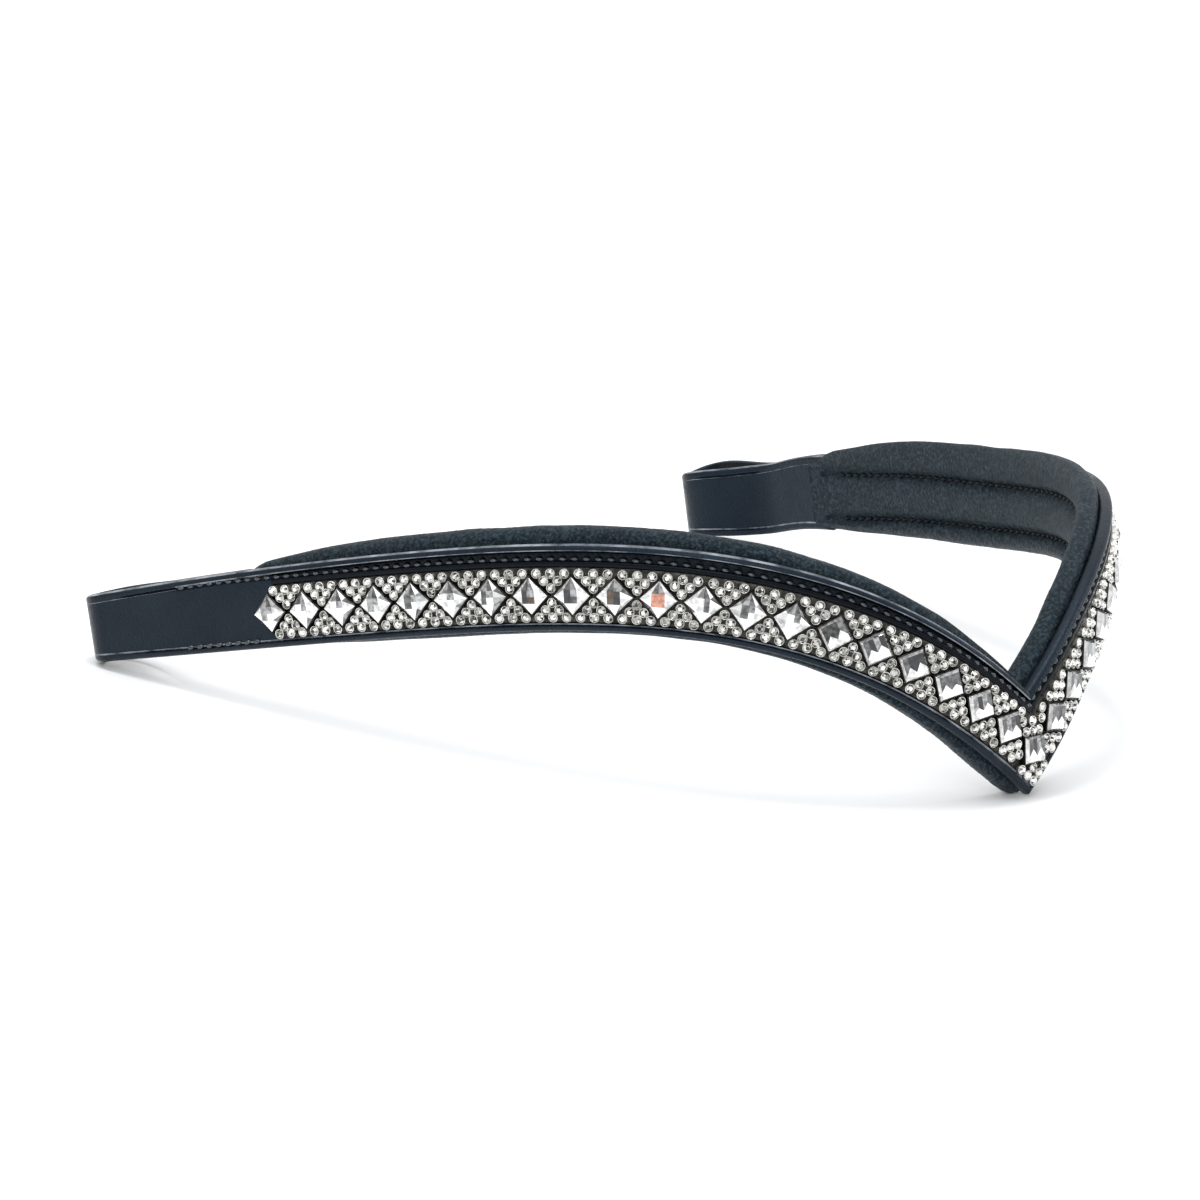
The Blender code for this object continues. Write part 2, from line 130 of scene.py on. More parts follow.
# Details that only the looks have.
STITCH_PITCH = 2.2 * MM
STITCH_SHARE = 0.36
THREAD_RADIUS = 0.42 * MM
THREAD_RISE = 0.22 * MM
STATION_STEP = STITCH_PITCH / 4
BEAD_WIDTH = 1.4 * MM
LOWER_BEAD = 1.2 * MM
LIP_EDGE = 5.9 * MM
GROOVE_DEPTH = 0.9 * MM
GROOVE_SWELL = 0.24 * MM
CREASE_DEPTH = 0.4 * MM
CREASE_RIDGE = 0.14 * MM
PAD_SKIN_END = 168.5 * MM
ROUND_STONE_RADIUS = 0.98 * MM
CUP_RADIUS = 0.93 * MM
QUILT_PITCH = 2.3 * MM
RIB_PITCH = 1.3 * MM
PUCKER_HEIGHT = 0.09 * MM
RIB_HEIGHT = 0.06 * MM
FOLD_HEIGHT = 0.05 * MM
SWELL_HEIGHT = 0.14 * MM
SEAM_SINK = 0.55

# A corner of a section is rounded by its own radius, up to a share of the sides that meet in it.
ANY_RADIUS = 1.0
MOST_CUT = 0.45

SEED = 7


def running_total(values, along):
    """The integral of values from zero, at each point along."""
    total = np.concatenate([[0.0], np.cumsum((values[1:] + values[:-1]) / 2 * np.diff(along))])
    return total - np.interp(0.0, along, total)


def slope(length):
    fall_off = np.exp(-((np.maximum(length, 0.0) / SLOPE_REACH) ** 2))
    return END_SLOPE + (V_SLOPE - END_SLOPE) * fall_off


def heading(run):
    left = np.clip(1 - np.abs(run) / BEND_REACH, 0.0, 1.0)
    return np.sign(run) * END_HEADING * (1 - left**BEND_POWER)


ALONG = np.linspace(-0.03, 0.25, 1401)
FLAT_RUN = running_total(np.cos(slope(ALONG)), ALONG)
FLAT_RISE = running_total(np.sin(slope(ALONG)), ALONG)
PLAN_X = running_total(np.cos(heading(ALONG)), ALONG)
PLAN_Y = running_total(np.sin(heading(ALONG)), ALONG)


def bend(run, rise, out):
    """Points of the flat outline (sideways from the V, above it, out), bent and stood on the floor."""
    turn = heading(run)
    x = np.interp(run, ALONG, PLAN_X) + out * np.sin(turn)
    y = np.interp(run, ALONG, PLAN_Y) - out * np.cos(turn)
    worn = np.stack(np.broadcast_arrays(x, y, rise), axis=-1)
    stance = np.array(STANCE)
    return worn @ stance[:3, :3].T + stance[:3, 3]


def flat(length, across):
    """How far sideways and above the V this point of the right arm lies in the flat outline."""
    tilt = slope(length)
    run = np.interp(length, ALONG, FLAT_RUN) - across * np.sin(tilt)
    rise = np.interp(length, ALONG, FLAT_RISE) + across * np.cos(tilt)
    return run, rise


def place(length, across, out):
    return bend(*flat(length, across), out)


def place_padding(length, across, out):
    """place() for the padding, whose lower edge turns the corner of the V in a curve."""
    run, rise = flat(length, across)
    share = np.clip((UPPER_QUILT - across) / (UPPER_QUILT - PAD_BOTTOM), 0.0, 1.0)
    return bend(run, rise + share * math.tan(V_SLOPE) * (np.hypot(run, TIP_ROUND) - np.abs(run)), out)


def taper(middle, end, length, full_length, power):
    return middle + (end - middle) * np.clip(length / full_length, 0.0, 1.0) ** power


def v_drop(length):
    return V_DROP * np.exp(-((np.maximum(length, 0.0) / V_DROP_REACH) ** 2))


def strap_top(length):
    return taper(STRAP_TOP, LOOP_HALF_HEIGHT, length, ARM_LENGTH, STRAP_TAPER) - v_drop(length)


def strap_bottom(length):
    return taper(STRAP_BOTTOM, -LOOP_HALF_HEIGHT, length, ARM_LENGTH, STRAP_TAPER)


def pad_top(length):
    drop = PAD_V_DROP * np.exp(-((np.maximum(length, 0.0) / PAD_V_DROP_REACH) ** 2))
    return taper(PAD_TOP, PAD_END_TOP, length, PAD_LENGTH, PAD_TAPER) - drop


def pad_bottom(length):
    return taper(PAD_BOTTOM, PAD_END_BOTTOM, length, PAD_LENGTH, PAD_TAPER) - v_drop(length)


def smooth_step(low, high, value):
    """0 below low and 1 above high, with a smooth rise between them. low may be the larger."""
    part = np.clip((value - low) / (high - low), 0.0, 1.0)
    return part * part * (3 - 2 * part)


# Mesh helpers.


def rounded(corners, steps):
    """The outline through (across, out, radius) corners, each rounded off by up to its radius."""
    spots = np.array([corner[:2] for corner in corners])
    outline = [spots[0]]
    for before, here, after, corner in zip(spots[:-2], spots[1:-1], spots[2:], corners[1:-1]):
        back, ahead = before - here, after - here
        back_length, ahead_length = np.hypot(*back), np.hypot(*ahead)
        start = here + back * min(corner[2] / max(back_length, 1e-9), MOST_CUT)
        end = here + ahead * min(corner[2] / max(ahead_length, 1e-9), MOST_CUT)
        for step in range(steps + 1):
            part = step / steps
            outline.append((1 - part) ** 2 * start + 2 * part * (1 - part) * here + part**2 * end)
    return np.array(outline + [spots[-1]])


def grid_faces(columns, rows, closed):
    """Quads of a grid stored column by column. A closed one joins its last row to its first."""
    column, row = np.meshgrid(np.arange(columns - 1), np.arange(rows if closed else rows - 1), indexing="ij")
    following = (row + 1) % rows
    here, ahead = column * rows, (column + 1) * rows
    corners = [here + row, ahead + row, ahead + following, here + following]
    return np.stack(corners, axis=-1).reshape(-1, 4)


def end_cap(columns, rows):
    """The face that closes a grid's last column."""
    return tuple((columns - 1) * rows + i for i in range(rows))


def new_object(name, data):
    obj = bpy.data.objects.new(name, data)
    bpy.context.scene.collection.objects.link(obj)
    return obj


def make_object(name, points, faces, looks, look_of_face=None, smooth=True):
    mesh = bpy.data.meshes.new(name)
    mesh.from_pydata([tuple(point) for point in points], [], [tuple(face) for face in faces])
    for look in looks:
        mesh.materials.append(look)
    if look_of_face is not None:
        mesh.polygons.foreach_set("material_index", look_of_face)
    if smooth:
        mesh.shade_smooth()
    return new_object(name, mesh)


def edit(obj, change):
    """Runs change on the object's mesh as a bmesh."""
    shape = bmesh.new()
    shape.from_mesh(obj.data)
    change(shape)
    shape.to_mesh(obj.data)
    shape.free()
    obj.data.update()


def make_both_arms(obj):
    """Cuts the right arm at the centre plane and joins its mirror image to it."""

    def change(shape):
        everything = shape.verts[:] + shape.edges[:] + shape.faces[:]
        bmesh.ops.bisect_plane(shape, geom=everything, plane_co=(0, 0, 0), plane_no=(1, 0, 0),
                               clear_inner=True)
        everything = shape.verts[:] + shape.edges[:] + shape.faces[:]
        bmesh.ops.mirror(shape, geom=everything, merge_dist=1e-6, axis="X")
        bmesh.ops.recalc_face_normals(shape, faces=shape.faces)

    edit(obj, change)


def keep_on_root(obj, slot, *nodes):
    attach(obj, "root")
    if nodes:
        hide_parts(*nodes)


# Materials.


def new_material(name, colour, roughness, metallic=0.0, coat=0.0, sheen=0.0, ior=1.45):
    """A material and its shader. Values that are the same all over the surface stay on its sockets."""
    look = bpy.data.materials.new(name)
    look.use_nodes = True
    shader = look.node_tree.nodes["Principled BSDF"]
    values = {"Base Color": (*colour, 1.0), "Roughness": roughness, "Metallic": metallic, "IOR": ior,
              "Coat Weight": coat, "Coat Roughness": 0.12,
              "Sheen Weight": sheen, "Sheen Roughness": 0.45, "Sheen Tint": (0.72, 0.84, 1.0, 1.0)}
    for socket, value in values.items():
        shader.inputs[socket].default_value = value
    look.diffuse_color = (*colour, 1.0)
    return look, shader


def add_node(look, kind, **values):
    node = look.node_tree.nodes.new(kind)
    for name, value in values.items():
        if name in node.inputs:
            node.inputs[name].default_value = value
        else:
            setattr(node, name, value)
    return node


def position_of(look):
    return add_node(look, "ShaderNodeTexCoord").outputs["Object"]


def noise_of(look, size, detail=3.0):
    """A noise texture whose features are about this size."""
    node = add_node(look, "ShaderNodeTexNoise", Scale=1 / size, Detail=detail, Roughness=0.55)
    look.node_tree.links.new(position_of(look), node.inputs["Vector"])
    return node.outputs["Fac"]


def cells_of(look, size):
    node = add_node(look, "ShaderNodeTexVoronoi", Scale=1 / size)
    look.node_tree.links.new(position_of(look), node.inputs["Vector"])
    return node.outputs["Distance"]


def spread_of(look, source, low, high, start=0.3, end=0.7):
    """The source, from start to end, stretched to run from low to high."""
    limits = {"From Min": start, "From Max": end, "To Min": low, "To Max": high}
    node = add_node(look, "ShaderNodeMapRange", **limits)
    look.node_tree.links.new(source, node.inputs["Value"])
    return node.outputs["Result"]


def colours_of(look, source, stops):
    """The source as a colour, through (place, colour) stops."""
    node = look.node_tree.nodes.new("ShaderNodeValToRGB")
    ramp = node.color_ramp
    while len(ramp.elements) < len(stops):
        ramp.elements.new(0.5)
    for element, (spot, colour) in zip(ramp.elements, stops):
        element.position = spot
        element.color = (*colour, 1.0)
    look.node_tree.links.new(source, node.inputs["Fac"])
    return node.outputs["Color"]


def bump_of(look, source, height, under=None):
    node = add_node(look, "ShaderNodeBump", Strength=1.0, Distance=height)
    look.node_tree.links.new(source, node.inputs["Height"])
    if under is not None:
        look.node_tree.links.new(under, node.inputs["Normal"])
    return node.outputs["Normal"]


def leather(name, dark, light, roughness, grain, grain_height, ior=1.34, fleck=14 * MM, spread=(0.36, 0.70)):
    """Leather with a grain, fine pores, flecks or slow changes of colour and uneven gloss."""
    look, shader = new_material(name, dark, roughness, ior=ior)
    shader.inputs["Specular Tint"].default_value = (0.62, 0.82, 1.0, 1.0)
    link = look.node_tree.links.new
    patches = noise_of(look, fleck, detail=4.0)
    link(colours_of(look, patches, [(spread[0], dark), (spread[1], light)]), shader.inputs["Base Color"])
    gloss = noise_of(look, 1.8 * MM)
    link(spread_of(look, gloss, roughness - 0.07, roughness + 0.1), shader.inputs["Roughness"])
    pores = bump_of(look, noise_of(look, grain * 0.4, detail=4.0), grain_height * 0.5)
    link(bump_of(look, noise_of(look, grain), grain_height, under=pores), shader.inputs["Normal"])
    return look


def metal(name, dark, light, roughness):
    """Cast metal whose colour and gloss change over a millimetre or so."""
    look, shader = new_material(name, dark, roughness, metallic=1.0)
    link = look.node_tree.links.new
    stain = noise_of(look, 1.1 * MM, detail=5.0)
    link(colours_of(look, stain, [(0.3, dark), (0.65, light)]), shader.inputs["Base Color"])
    link(spread_of(look, stain, roughness + 0.12, roughness - 0.08), shader.inputs["Roughness"])
    link(bump_of(look, noise_of(look, 0.25 * MM), 0.03 * MM), shader.inputs["Normal"])
    return look


def facet(name, dark, light):
    """One tone of painted reflection on a stone's facets, a little uneven, under clear polished crystal."""
    look, shader = new_material(name, dark, 0.04, metallic=0.55, coat=1.0)
    shader.inputs["Coat Roughness"].default_value = 0.02
    link = look.node_tree.links.new
    streaks = noise_of(look, 0.8 * MM, detail=1.0)
    link(colours_of(look, streaks, [(0.38, dark), (0.62, light)]), shader.inputs["Base Color"])
    return look


def thread_look(name, dark, light, ior):
    look, shader = new_material(name, dark, 0.14, ior=ior)
    shader.inputs["Specular Tint"].default_value = (0.8, 0.9, 1.0, 1.0)
    link = look.node_tree.links.new
    tones = colours_of(look, noise_of(look, 0.5 * MM), [(0.3, dark), (0.7, light)])
    link(tones, shader.inputs["Base Color"])
    link(bump_of(look, noise_of(look, 0.12 * MM, detail=2.0), 0.04 * MM), shader.inputs["Normal"])
    return look


def woven(name, dark, light, size):
    """Hidden cotton, whose threads are about this size."""
    look, shader = new_material(name, dark, 0.85, sheen=0.2)
    link = look.node_tree.links.new
    cells = cells_of(look, size)
    link(colours_of(look, cells, [(0.1, dark), (0.6, light)]), shader.inputs["Base Color"])
    link(bump_of(look, cells, size * 0.3), shader.inputs["Normal"])
    return look


# The strap: one strip of leather with the channel in it, folded back on itself at each end.


def channel_openness(length):
    """1 along the channel, falling to 0 over the half stone at its pointed end."""
    return min(max((CHANNEL_TIP - length) / CHANNEL_HALF, 0.0), 1.0)


def groove_openness(length):
    """1 along the stitch groove, falling to 0 where its last stitch ends."""
    return smooth_step(STITCH_END + 1.5 * MM, STITCH_END - 2 * MM, length)


def strap_corners(length, crease, groove, thickness):
    """Corners of the strap's section, their heights out measured from its face."""
    top = strap_top(length)
    bottom = strap_bottom(length)
    openness = channel_openness(length)
    half = max(CHANNEL_HALF * openness, min(length - CHANNEL_TIP, 1.5 * MM), 0.05 * MM)
    floor = (CHANNEL_FLOOR - FACE) * min(openness * 2, 1.0)
    edge = -0.15 * MM * openness
    crease_line = top - BEAD_WIDTH
    lower_line = bottom + LOWER_BEAD
    lip = min(LIP_EDGE, crease_line - 0.45 * MM)
    wide = min(max((crease_line - lip) / (1.8 * MM), 0.0), 1.0)
    depth = GROOVE_DEPTH * groove * (0.35 + 0.65 * wide)
    cut = CREASE_DEPTH * crease
    ridge = CREASE_RIDGE * crease
    return [
        (bottom + 0.3 * MM, -thickness, 0.0),
        (bottom, -thickness + 0.3 * MM, 0.3 * MM),
        (bottom, -0.5 * MM, 0.4 * MM),
        (bottom + 0.5 * MM, 0.0, 0.5 * MM),
        (lower_line - 0.25 * MM, ridge * 0.5, 0.1 * MM),
        (lower_line, -cut, 0.05 * MM),
        (lower_line + 0.22 * MM, ridge, 0.15 * MM),
        (lower_line + 0.45 * MM, 0.0, 0.1 * MM),
        (min(-half - 0.2 * MM, -0.3 * MM), 0.0, 0.1 * MM),
        (-half, edge, 0.05 * MM),
        (-half, floor, 0.05 * MM),
        (half, floor, 0.05 * MM),
        (half, edge, 0.05 * MM),
        (max(half + 0.15 * MM, 0.3 * MM), 0.0, 0.1 * MM),
        (lip - 0.05 * MM, 0.0, 0.15 * MM),
        (lip + 0.12 * MM, -depth, 0.1 * MM),
        (max(lip + (crease_line - lip) * 0.5, crease_line - 0.5 * MM), -depth, 0.4 * MM),
        (crease_line - 0.25 * MM, -depth + ridge, 0.12 * MM),
        (crease_line, -cut - depth * 0.6, 0.05 * MM),
        (crease_line + 0.25 * MM, ridge, 0.15 * MM),
        (top - 0.5 * MM, 0.04 * MM, 0.4 * MM),
        (top, -0.5 * MM, 0.4 * MM),
        (top, -thickness + 0.3 * MM, 0.3 * MM),
        (top - 0.3 * MM, -thickness, 0.0),
    ]


# The strap's materials by index: its leather, a light one as painted highlight, and a near-black one as
# painted shade on its inner faces; and the corners of its section between which each of its features lies.
SMOOTH, PAINTED_HIGHLIGHT, PAINTED_SHADE = range(3)
LIP_CORNERS = (7, 9)
RECESS_CORNERS = (9, 12)
GROOVE_CORNERS = (12, 18)
GROOVE_FLOOR = (15, 16)
LOWER_RIDGE = 6
UPPER_RIDGE = 17
BEAD_EDGE = 19
TOP_EDGE = 21


def strap_stations():
    """(length, out, turn, crease, groove, thickness) of each section, out to the fold, round it and back."""
    radius = LOOP_DEPTH / 2
    fold_length = ARM_LENGTH - radius
    full = FACE - STRAP_BACK
    stations = []
    for length in np.arange(V_OVERRUN, fold_length, STATION_STEP):
        thin = smooth_step(STITCH_END - 3 * MM, STITCH_END + 5 * MM, length)
        thickness = full + (LEAF_THICKNESS - full) * thin
        crease = smooth_step(fold_length, fold_length - 12 * MM, length)
        stations.append((length, FACE, 0.0, crease, groove_openness(length), thickness))
    for turn in np.linspace(0.0, math.pi, 19):
        centre_out = FACE - radius
        spot = (fold_length + radius * math.sin(turn), centre_out + radius * math.cos(turn))
        stations.append((*spot, turn, 0.0, 0.0, LEAF_THICKNESS))
    spread = FACE - LOOP_DEPTH - LEAF_SKIN
    run = fold_length - STITCH_END
    for part in np.linspace(1.0, 0.0, 26)[1:]:
        rise = part**2 * (3 - 2 * part)
        lean = math.atan2(-6 * spread * part * (1 - part), run)
        crease = smooth_step(1.0, 0.75, part) * smooth_step(0.05, 0.3, part)
        length = STITCH_END + run * part
        out = LEAF_SKIN + spread * rise
        stations.append((length, out, math.pi - lean, crease, 0.0, LEAF_THICKNESS))
    for length in np.linspace(STITCH_END, TAIL_LENGTH, 12)[1:]:
        stations.append((length, LEAF_SKIN, math.pi, 0.0, 0.0, LEAF_THICKNESS))
    return stations


def stitch_bulge(length):
    """How far leather swells between two stitches and dips at their middles, from -1 to 1."""
    return -math.cos(2 * math.pi * length / STITCH_PITCH)


def build_strap(smooth_leather, painted_highlight_leather, glossy_painted_shade_leather):
    steps = 2

    def first_row(corner):
        return 1 + (corner - 1) * (steps + 1)

    stations = strap_stations()
    floor_rows = slice(first_row(GROOVE_FLOOR[0]), first_row(GROOVE_FLOOR[1] + 1))
    points = []
    for length, out, turn, crease, groove, thickness in stations:
        outline = rounded(strap_corners(length, crease, groove, thickness), steps)
        outline[floor_rows, 1] += GROOVE_SWELL * stitch_bulge(length) * groove * (turn == 0.0)
        across, lift = outline[:, 0], outline[:, 1]
        points.append(place(length + lift * math.sin(turn), across, out + lift * math.cos(turn)))
    rows = len(points[0])
    faces = grid_faces(len(stations), rows, closed=True)
    column = np.repeat(np.arange(len(stations) - 1), rows)
    row = np.tile(np.arange(rows), len(stations) - 1)
    main_length = np.array([station[0] if station[2] == 0.0 else 1.0 for station in stations])[column]

    def in_corners(pair):
        return (row >= first_row(pair[0])) & (row < first_row(pair[1] + 1))

    def at_corner(number):
        return (row >= first_row(number) - 1) & (row < first_row(number) + steps)

    sewn = main_length < STITCH_END
    # Faces on the crease ridges, the bead edge and the top edge get the painted highlight: a light colour for
    # the light they catch.
    worn = at_corner(LOWER_RIDGE) | (at_corner(UPPER_RIDGE) & ~sewn) | (at_corner(BEAD_EDGE) & sewn)
    worn |= at_corner(TOP_EDGE)
    lined = (in_corners(LIP_CORNERS) | in_corners(GROOVE_CORNERS)) & (main_length < CHANNEL_SHOULDER)
    lined |= in_corners(RECESS_CORNERS) & (main_length < CHANNEL_TIP)
    strap_faces = [tuple(face) for face in faces[~lined]] + [end_cap(len(stations), rows)]
    every_point = np.concatenate(points)
    # The strap's inner faces get near-black leather, a painted shade inside the loops.
    inside = (row == rows - 1) | (row == 0)
    look_of_face = list(np.where(inside, PAINTED_SHADE, np.where(worn, PAINTED_HIGHLIGHT, SMOOTH))[~lined]) + [SMOOTH]
    strap = make_object("strap", every_point, strap_faces, [smooth_leather, painted_highlight_leather, glossy_painted_shade_leather],
                        look_of_face)
    # The channel's lip, groove and recess are near-black glossy leather, partly the leather's own black and
    # partly painted shade.
    lining = make_object("channel_lining", every_point, faces[lined], [glossy_painted_shade_leather])
    for obj in (strap, lining):
        make_both_arms(obj)
        edit(obj, drop_loose_points)
    edit(strap, lift_right_loop)
    loop_start = float(np.interp(BEND_REACH, ALONG, PLAN_Y)) + STANCE.translation.y
    # Before its loop, the right arm's ridges and edges go without the painted highlight.
    for face in strap.data.polygons:
        if face.material_index == PAINTED_HIGHLIGHT and face.center.x > 0 and face.center.y < loop_start:
            face.material_index = SMOOTH
    keep_on_root(strap, "strap_leather", "outer_strap", "left_loop", "right_loop")
    keep_on_root(lining, "channel_leather")


def lift_right_loop(shape):
    """The right loop rises a little towards its fold, its outer leaf more than its inner one."""
    start_x = float(np.interp(BEND_REACH, ALONG, PLAN_X))
    start_y = float(np.interp(BEND_REACH, ALONG, PLAN_Y))
    sewn_end = float(np.interp(STITCH_END, ALONG, FLAT_RUN)) - BEND_REACH
    to_worn = STANCE.inverted()
    for vertex in shape.verts:
        spot = to_worn @ vertex.co
        aside, back = spot.x - start_x, spot.y - start_y
        along = aside * math.cos(END_HEADING) + back * math.sin(END_HEADING)
        if spot.x < 0 or along < sewn_end:
            continue
        out = aside * math.sin(END_HEADING) - back * math.cos(END_HEADING)
        inner = smooth_step(-1.5 * MM, -8.0 * MM, out)
        spot.z += smooth_step(sewn_end, sewn_end + 20 * MM, along) * blend(2.3 * MM, 1.2 * MM, inner)
        vertex.co = STANCE @ spot


def run_beside(x, y):
    """How far along the right arm, seen from above, is its point nearest to each of these spots."""
    run = np.interp(x + y, PLAN_X + PLAN_Y, ALONG)
    for _ in range(6):
        turn = heading(run)
        aside = x - np.interp(run, ALONG, PLAN_X)
        back = y - np.interp(run, ALONG, PLAN_Y)
        run = run + aside * np.cos(turn) + back * np.sin(turn)
    return run


def settle_right_arm(obj):
    """The right arm lies a little to one side, lower half way along it and higher near its loop."""
    spots = np.empty(len(obj.data.vertices) * 3)
    obj.data.vertices.foreach_get("co", spots)
    spots = spots.reshape(-1, 3)
    stance = np.array(STANCE)
    worn = (spots - stance[:3, 3]) @ stance[:3, :3]
    run = run_beside(worn[:, 0], worn[:, 1])
    drop = ARM_SAG * np.exp(-(((run - ARM_SAG_AT) / ARM_SAG_REACH) ** 2))
    drop -= ARM_RISE * np.exp(-(((run - ARM_RISE_AT) / ARM_RISE_REACH) ** 2))
    aside = smooth_step(ARM_SHIFT_FROM, ARM_SHIFT_TO, run)
    moves = np.stack([ARM_SHIFT[0] * aside, ARM_SHIFT[1] * aside, -drop], axis=-1)
    worn += np.where(worn[:, :1] > 0, moves, 0.0)
    spots = worn @ stance[:3, :3].T + stance[:3, 3]
    obj.data.vertices.foreach_set("co", spots.ravel())
    obj.data.update()


def build_cords(nodes, look):
    """The filler cords inside the strap's two beads."""
    for name in ("upper_bead_cord", "lower_bead_cord"):
        shape = nodes[name].data.copy()
        shape.transform(nodes[name].matrix_world)
        shape.materials.clear()
        shape.materials.append(look)
        keep_on_root(new_object(name + "_filler", shape), "filler_cord", name)


def drop_loose_points(shape):
    loose = [vertex for vertex in shape.verts if not vertex.link_faces]
    bmesh.ops.delete(shape, geom=loose, context="VERTS")


# The padding: a stuffed leather skin, quilted into three rolls.


def quilt_lines(length):
    """How far across the strap the upper and the lower quilting row lie."""
    return UPPER_QUILT - v_drop(length), LOWER_QUILT - v_drop(length)


def pad_fullness(length):
    return float(taper(1.0, 0.55, length, PAD_LENGTH, PAD_TAPER))


def blend(first, second, part):
    return first + (second - first) * part


def pad_corners(length):
    """Corners of the padding's closed section, from its lower front edge round its back to the upper one."""
    feather = smooth_step(PAD_LENGTH - 1 * MM, PAD_LENGTH + 5 * MM, length)
    thin = smooth_step(PAD_LENGTH, PAD_SKIN_END, length)
    top = blend(pad_top(length), LOOP_HALF_HEIGHT + 0.9 * MM, feather)
    bottom = blend(pad_bottom(length), -LOOP_HALF_HEIGHT + 0.4 * MM, feather)
    full = blend(pad_fullness(length), 0.12, feather)
    front = blend(PAD_FRONT, LEAF_SKIN + 0.25 * MM, feather)
    stuffed = PAD_FRONT - PAD_DEPTH * pad_fullness(length)
    crest = blend(stuffed, LEAF_SKIN - 0.3 * MM + 0.25 * MM * thin, feather)
    valley = front + (crest - front) * SEAM_SINK
    middle = (front + crest) / 2
    upper, lower = quilt_lines(length)
    soft = ANY_RADIUS

    def seam(line):
        side, spread = valley - 0.5 * MM * full, 0.35 * MM
        return [(line - spread, side, 0.5 * MM), (line, valley, 0.15 * MM), (line + spread, side, 0.5 * MM)]

    return [
        (bottom + 2.2 * MM, front, 0.0),
        (bottom + 0.4 * MM, front - 0.05 * MM, soft),
        (bottom - 0.1 * MM, middle + 0.4 * MM * full, soft),
        (bottom - 0.1 * MM, crest + 1.0 * MM * full, soft),
        (bottom + 1.1 * MM, crest - 0.1 * MM * full, soft),
        (lower - 1.2 * MM, crest + 0.1 * MM * full, soft),
        *seam(lower),
        (lower + 1.6 * MM, crest, soft),
        ((upper + lower) / 2, crest - 0.15 * MM * full, soft),
        (upper - 1.6 * MM, crest, soft),
        *seam(upper),
        (upper + 1.4 * MM, crest + 0.1 * MM * full, soft),
        (top - 1.6 * MM, crest - 0.2 * MM * full, soft),
        (top + 0.1 * MM, crest + 0.9 * MM * full, soft),
        (top + 0.1 * MM, middle, soft),
        (top - 0.25 * MM, front - 0.9 * MM * full, soft),
        (top - 1.1 * MM, front - 0.15 * MM * full, soft),
        (top - 2.4 * MM, front, 0.0),
    ]


def wrinkle(length, across, out):
    """How far the skin stands out of its smooth shape: puckers at the seams and folds across the rolls."""
    back = smooth_step(PAD_FRONT - 1.0 * MM, PAD_FRONT - 2.6 * MM, out)
    total = 0.0
    for seam in quilt_lines(length):
        away = abs(across - seam)
        near = math.exp(-away / (1.0 * MM))
        phase = 2 * math.pi * (length + away * 0.8) / QUILT_PITCH
        total += PUCKER_HEIGHT * math.cos(phase) * near
        ribs = 2 * math.pi * (length + away * 0.9) / RIB_PITCH
        ribs += 2.5 * noise.noise(Vector((length * 200, across * 400, 3.1)))
        total += RIB_HEIGHT * math.cos(ribs) * math.exp(-away / (3.5 * MM))
    folds = noise.noise(Vector((length * 900 + across * 300, across * 500, 0.4)))
    swell = noise.noise(Vector((length * 130, across * 170, 5.5)))
    return back * (total + FOLD_HEIGHT * folds) + SWELL_HEIGHT * swell


def build_pad(soft_leather):
    steps = 3
    lengths = np.arange(V_OVERRUN, PAD_SKIN_END, 0.4 * MM)
    points = []
    for length in lengths:
        outline = rounded(pad_corners(length), steps)
        tangent = np.gradient(outline, axis=0)
        normal = np.stack([tangent[:, 1], -tangent[:, 0]], axis=-1)
        normal /= np.maximum(np.hypot(normal[:, 0], normal[:, 1]), 1e-9)[:, None]
        rise = np.array([wrinkle(length, across, out) for across, out in outline])
        rise *= pad_fullness(length) * smooth_step(PAD_SKIN_END, PAD_LENGTH, length)
        outline = outline - normal * rise[:, None]
        points.append(place_padding(length, outline[:, 0], outline[:, 1]))
    rows = len(points[0])
    faces = [tuple(face) for face in grid_faces(len(lengths), rows, closed=True)]
    faces.append(end_cap(len(lengths), rows))
    pad = make_object("quilted_pad", np.concatenate(points), faces, [soft_leather])
    make_both_arms(pad)
    keep_on_root(pad, "pad_leather", "pad_cover", "upper_foam", "middle_foam", "lower_foam",
                 "reinforcement_web")


# Stitching: separate short threads, each a little arch whose ends dive into the leather.


def add_stitches(name, slot, look, rows, nodes):
    """rows: (first length, last length, pitch, across, out, facing, slant, place), some of them functions."""
    rings, around = 7, 8
    part = np.linspace(-1.0, 1.0, rings)
    size = np.sqrt(np.maximum(1 - part**2 * 0.96, 0.0))
    angle = np.arange(around) * 2 * math.pi / around
    points, faces, total = [], [], 0
    for first, last, pitch, across_at, out_at, facing, slant, place_at in rows:
        for length in np.arange(first, last, pitch):
            along = length + part * pitch * STITCH_SHARE
            radius = THREAD_RADIUS * size
            across = across_at(length) + slant * part
            lift = (out_at(length) + facing * THREAD_RISE * (1 - part**2))[:, None]
            ring_across = across[:, None] + radius[:, None] * np.cos(angle)
            ring_out = lift + radius[:, None] * np.sin(angle)
            ring_along = np.repeat(along[:, None], around, axis=1)
            points.append(place_at(ring_along, ring_across, ring_out).reshape(-1, 3))
            faces.append(grid_faces(rings, around, closed=True) + total)
            total += rings * around
    right = np.concatenate(points)
    left = right * (-1, 1, 1)
    right_faces = np.concatenate(faces)
    left_faces = right_faces[:, ::-1] + total
    every_point = np.concatenate([right, left])
    stitches = make_object(name, every_point, np.concatenate([right_faces, left_faces]), [look])
    edit(stitches, close_and_face_out)
    keep_on_root(stitches, slot, *nodes)


def close_and_face_out(shape):
    bmesh.ops.holes_fill(shape, edges=shape.edges, sides=0)
    bmesh.ops.recalc_face_normals(shape, faces=shape.faces)


def groove_level(length):
    """The stitch groove's floor, out from the plane of the stones."""
    corners = strap_corners(length, 1.0, groove_openness(length), FACE - STRAP_BACK)
    return FACE + corners[GROOVE_FLOOR[0]][1]


def stitch_across(length):
    return min(CHANNEL_STITCH, strap_top(length) - BEAD_WIDTH - 0.05 * MM) + 0.05 * MM


